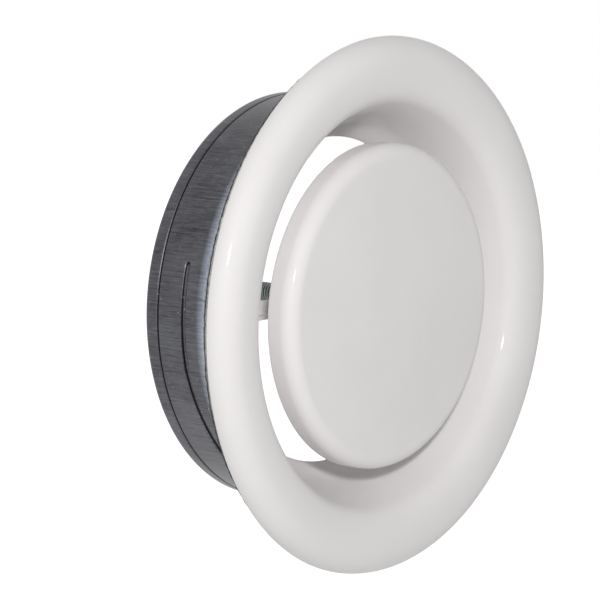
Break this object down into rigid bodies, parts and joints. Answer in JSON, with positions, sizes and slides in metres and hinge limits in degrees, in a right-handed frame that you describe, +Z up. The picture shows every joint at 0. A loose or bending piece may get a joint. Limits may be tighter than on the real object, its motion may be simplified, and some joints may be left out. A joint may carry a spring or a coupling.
{
  "type": "disc valve",
  "caption": "Round steel ventilation disc valve: white bell-mouth ring, screw-adjusted domed disc on a threaded spindle, in a galvanised sleeve frame with bayonet ramps.",
  "frame": {"origin": "on the valve axis, in the plain stretch of the sleeve that slides into the duct", "axes": "+Y along the valve axis into the duct, so the front faces -Y; +Z up; +X to the right seen from the front"},
  "size_m": [0.16, 0.0567, 0.16],
  "materials": {
    "white_enamel": "gloss",
    "galvanised_sheet": "satin",
    "grey_white_foam": "matte",
    "zinc_plated_steel": "bright"
  },
  "bodies": {
    "frame": {"mounting_frame": "galvanised_sheet"},
    "valve": {"valve_ring": "white_enamel", "foam_gasket": "grey_white_foam", "bridge": "white_enamel", "bridge_nut": "zinc_plated_steel", "lock_nut": "zinc_plated_steel"},
    "spindle_carrier": {"spindle": "zinc_plated_steel"},
    "disc": {"valve_disc": "white_enamel", "disc_hub": "zinc_plated_steel"}
  },
  "joints": [
    {"name": "bayonet_turn", "type": "hinge", "parent": "frame", "child": "valve", "pos_m": [0, 0, 0], "axis": [0, 1, 0], "range_deg": [-9, 12]},
    {"name": "spindle_travel", "type": "slide", "parent": "valve", "child": "spindle_carrier", "axis": [0, 1, 0], "range_m": [-0.0081, 0.0121]},
    {"name": "disc_turn", "type": "hinge", "parent": "spindle_carrier", "child": "disc", "pos_m": [0, 0, 0], "axis": [0, 1, 0], "range_deg": [-2880, 4320]}
  ],
  "couplings": [
    {"joint": "spindle_travel", "follows": "disc_turn", "m_per_rad": 0.00015915}
  ]
}
